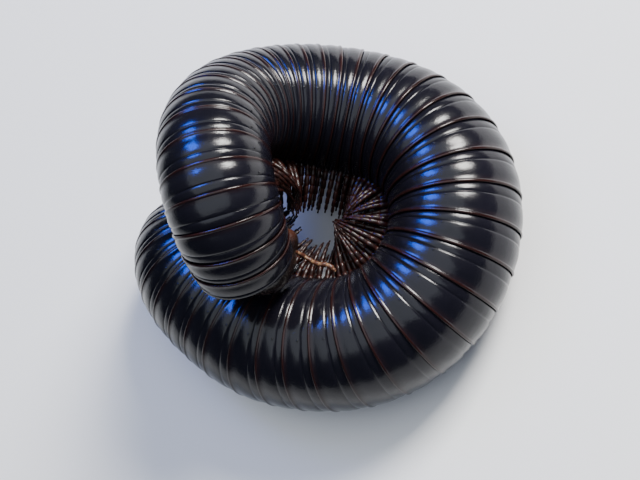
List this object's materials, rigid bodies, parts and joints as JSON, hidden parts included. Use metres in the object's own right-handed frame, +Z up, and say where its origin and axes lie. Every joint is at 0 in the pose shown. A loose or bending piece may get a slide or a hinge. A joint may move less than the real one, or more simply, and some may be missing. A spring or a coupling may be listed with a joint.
{
  "type": "giant millipede",
  "caption": "Life-size still model of a giant millipede curled in a coil, its front end arched over the coil's opening and its head tucked down inside.",
  "frame": {"origin": "on the floor, under the middle of the coil's bounding box", "axes": "+Z up; +Y away from the viewer of the picture, whose picture is turned by about 54 degrees; +X to that viewer's side"},
  "size_m": [0.047, 0.0466, 0.0333],
  "materials": {
    "shell": "glossy black-brown cuticle with fine grain",
    "rim": "glossy reddish-brown hind rims of the rings",
    "leg": "satin reddish-brown leg cuticle, paler at the joints",
    "head": "glossy dark brown head capsule",
    "antenna": "satin brown feelers with pale joints",
    "eye": "glossy black eye patches"
  },
  "bodies": {
    "root": {"anal_valve_left": "shell", "anal_valve_right": "shell", "antenna_left": "antenna", "antenna_right": "antenna", "collum": "shell", "eye_left": "eye", "eye_right": "eye", "head": "head", "ring_02": "shell", "ring_03": "shell", "ring_04": "shell", "ring_05": "shell", "ring_06": "shell", "ring_07": "shell", "ring_08": "shell", "ring_09": "shell", "ring_10": "shell", "ring_11": "shell", "ring_12": "shell", "ring_13": "shell", "ring_14": "shell", "ring_15": "shell", "ring_16": "shell", "ring_17": "shell", "ring_18": "shell", "ring_19": "shell", "ring_20": "shell", "ring_21": "shell", "ring_22": "shell", "ring_23": "shell", "ring_24": "shell", "ring_25": "shell", "ring_26": "shell", "ring_27": "shell", "ring_28": "shell", "ring_29": "shell", "ring_30": "shell", "ring_31": "shell", "ring_32": "shell", "ring_33": "shell", "ring_34": "shell", "ring_35": "shell", "ring_36": "shell", "ring_37": "shell", "ring_38": "shell", "ring_39": "shell", "ring_40": "shell", "ring_41": "shell", "ring_42": "shell", "ring_43": "shell", "telson": "shell"}
  },
  "joints": []
}
